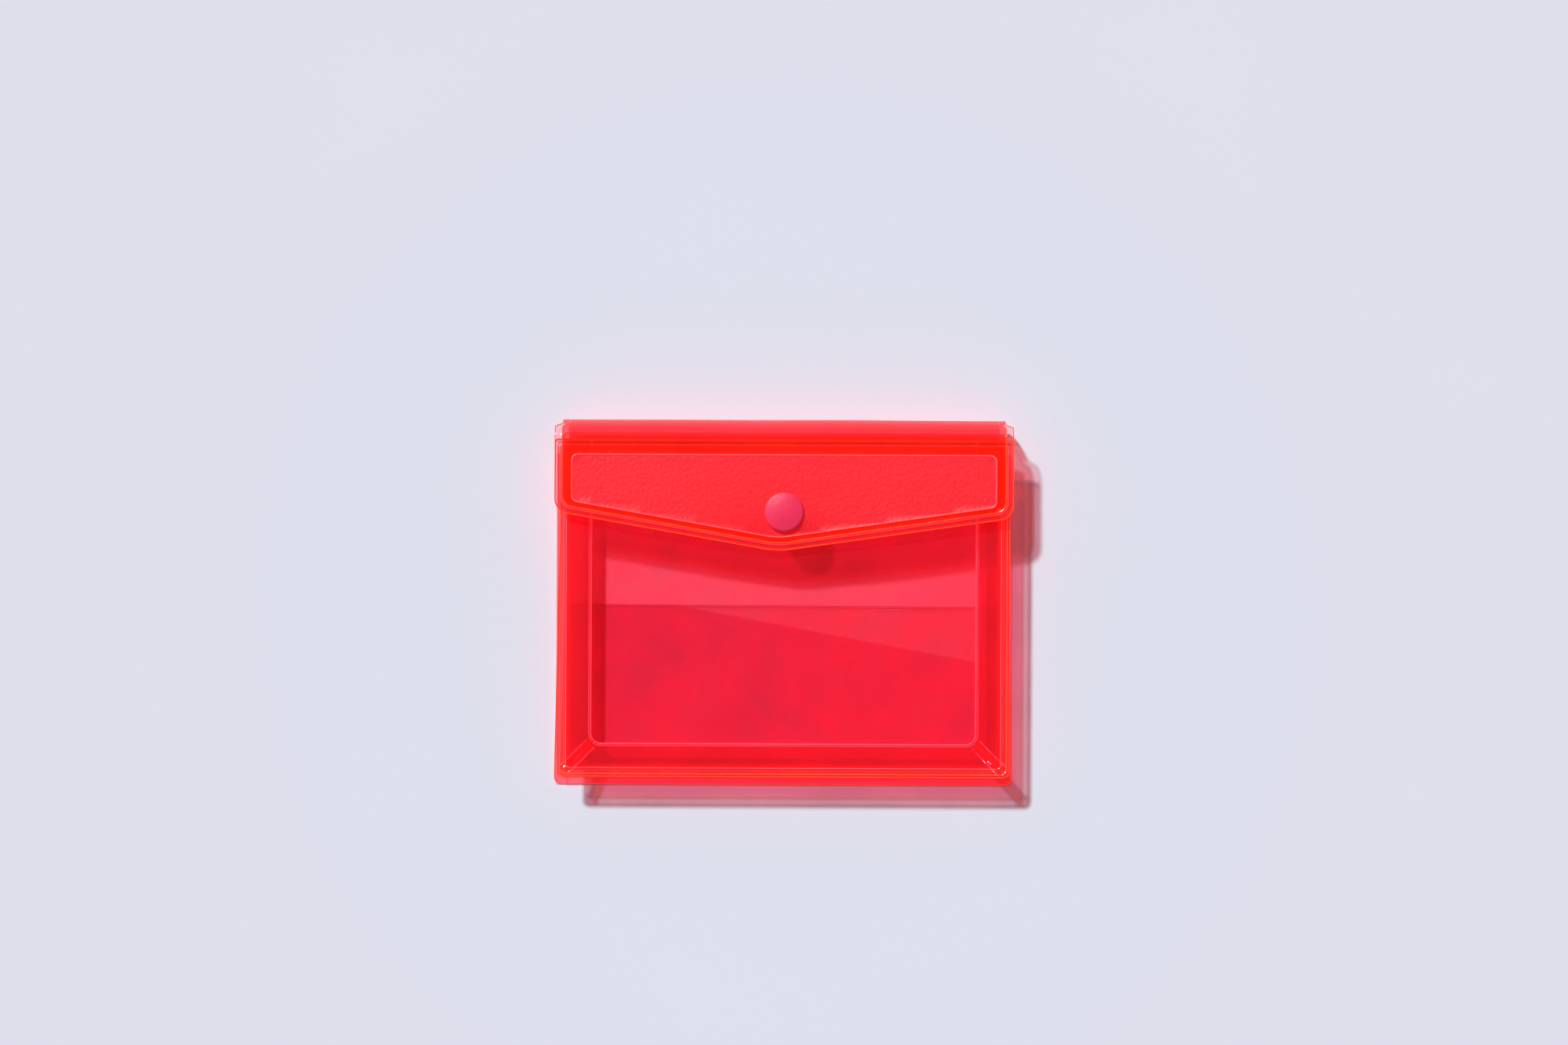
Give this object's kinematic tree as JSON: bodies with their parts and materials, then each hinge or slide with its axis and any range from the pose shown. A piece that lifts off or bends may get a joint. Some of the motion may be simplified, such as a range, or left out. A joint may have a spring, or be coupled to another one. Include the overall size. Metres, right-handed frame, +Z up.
{
  "type": "portfolio case",
  "caption": "Small see-through soft-vinyl envelope case with a bellows gusset, an inner slip pocket and a snap-closed V flap",
  "frame": {"origin": "centre of the rectangle that the closed case covers, on the surface it lies on", "axes": "+X to the right across the flap, +Y from the bottom edge to the flap's fold, +Z up out of the back panel"},
  "size_m": [0.146, 0.1164, 0.0205],
  "materials": {
    "clear_vinyl": "see-through red-pink soft vinyl, glossy",
    "frosted_vinyl": "see-through red-pink soft vinyl with a fine satin face",
    "gusset_vinyl": "see-through orange-red soft vinyl, glossy",
    "snap_plastic": "pink moulded plastic, fine grained"
  },
  "bodies": {
    "back": {"back_panel": "clear_vinyl", "slip_pocket": "clear_vinyl", "left_gusset_lower_flange": "gusset_vinyl", "right_gusset_lower_flange": "gusset_vinyl", "bottom_gusset_lower_flange": "gusset_vinyl", "left_corner_pleat": "gusset_vinyl", "right_corner_pleat": "gusset_vinyl"},
    "spine": {"spine_panel": "clear_vinyl"},
    "flap": {"flap_outer_sheet": "frosted_vinyl", "flap_lining": "frosted_vinyl", "snap_cap": "snap_plastic", "snap_socket": "snap_plastic"},
    "front": {"front_panel": "clear_vinyl", "left_gusset_upper_flange": "gusset_vinyl", "right_gusset_upper_flange": "gusset_vinyl", "bottom_gusset_upper_flange": "gusset_vinyl", "snap_stud": "snap_plastic", "snap_back_cap": "snap_plastic"},
    "left_lower_leaf": {"left_gusset_lower_leaf": "gusset_vinyl"},
    "left_upper_leaf": {"left_gusset_upper_leaf": "gusset_vinyl"},
    "right_lower_leaf": {"right_gusset_lower_leaf": "gusset_vinyl"},
    "right_upper_leaf": {"right_gusset_upper_leaf": "gusset_vinyl"},
    "bottom_lower_leaf": {"bottom_gusset_lower_leaf": "gusset_vinyl"},
    "bottom_upper_leaf": {"bottom_gusset_upper_leaf": "gusset_vinyl"}
  },
  "joints": [
    {"name": "spine_fold", "type": "hinge", "parent": "back", "child": "spine", "pos_m": [0, 0.0577, 0.0005], "axis": [-1, 0, 0], "range_deg": [0, 90]},
    {"name": "flap_fold", "type": "hinge", "parent": "spine", "child": "flap", "pos_m": [0, 0.0577, 0.01855], "axis": [-1, 0, 0], "range_deg": [0, 90]},
    {"name": "gusset_fold", "type": "hinge", "parent": "back", "child": "right_lower_leaf", "pos_m": [0.0695, 0, 0.0013], "axis": [0, 1, 0], "range_deg": [-33.5, 0], "stiffness_Nm_per_rad": 0.01, "springref_deg": 20.05, "deforming": ["left_corner_pleat", "right_corner_pleat"]},
    {"name": "right_inner_fold", "type": "hinge", "parent": "right_lower_leaf", "child": "right_upper_leaf", "pos_m": [0.0612, 0, 0.00775], "axis": [0, 1, 0], "range_deg": [0, 67]},
    {"name": "right_front_fold", "type": "hinge", "parent": "right_upper_leaf", "child": "front", "pos_m": [0.0695, 0, 0.0142], "axis": [0, 1, 0], "range_deg": [-33.5, 0]},
    {"name": "left_back_fold", "type": "hinge", "parent": "back", "child": "left_lower_leaf", "pos_m": [-0.0695, 0, 0.0013], "axis": [0, -1, 0], "range_deg": [-33.5, 0]},
    {"name": "left_inner_fold", "type": "hinge", "parent": "left_lower_leaf", "child": "left_upper_leaf", "pos_m": [-0.0612, 0, 0.00775], "axis": [0, -1, 0], "range_deg": [0, 67]},
    {"name": "bottom_back_fold", "type": "hinge", "parent": "back", "child": "bottom_lower_leaf", "pos_m": [0, -0.053, 0.0013], "axis": [1, 0, 0], "range_deg": [-33.5, 0]},
    {"name": "bottom_inner_fold", "type": "hinge", "parent": "bottom_lower_leaf", "child": "bottom_upper_leaf", "pos_m": [0, -0.0447, 0.00775], "axis": [1, 0, 0], "range_deg": [0, 67]}
  ],
  "couplings": [
    {"joint": "right_inner_fold", "follows": "gusset_fold", "ratio": -2},
    {"joint": "right_front_fold", "follows": "gusset_fold", "ratio": 1},
    {"joint": "left_back_fold", "follows": "gusset_fold", "ratio": 1},
    {"joint": "left_inner_fold", "follows": "gusset_fold", "ratio": -2},
    {"joint": "bottom_back_fold", "follows": "gusset_fold", "ratio": 1},
    {"joint": "bottom_inner_fold", "follows": "gusset_fold", "ratio": -2}
  ]
}
